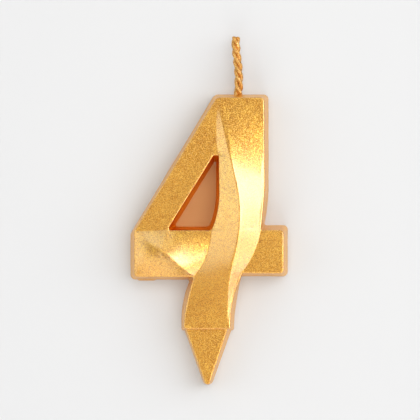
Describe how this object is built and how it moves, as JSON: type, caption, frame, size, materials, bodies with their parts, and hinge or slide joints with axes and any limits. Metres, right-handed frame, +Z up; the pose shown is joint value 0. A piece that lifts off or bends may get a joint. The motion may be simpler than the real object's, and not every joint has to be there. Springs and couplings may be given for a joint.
{
  "type": "number birthday candle",
  "caption": "Faceted metallic-gold figure four birthday candle with a flat pointed stake under its foot and a twisted cotton wick standing out of its top.",
  "frame": {"origin": "on the stake's axis, level with the underside of the figure's foot, halfway through the thickness of the figure's edges", "axes": "+Z up the figure towards the wick, +X to the reader's right, faceted front faces -Y, flat back faces +Y"},
  "size_m": [0.0418, 0.012, 0.0933],
  "materials": {
    "paraffin_wax": "opaque ivory paraffin wax, satin",
    "gold_lacquer": "fine-grained metallic gold lacquer, satin",
    "wick_cotton": "twisted cotton yarn soaked in gold lacquer"
  },
  "bodies": {
    "root": {"wax_body": "paraffin_wax", "gold_lacquer": "gold_lacquer", "wick_ply_1": "wick_cotton", "wick_ply_2": "wick_cotton", "wick_ply_3": "wick_cotton"}
  },
  "joints": []
}
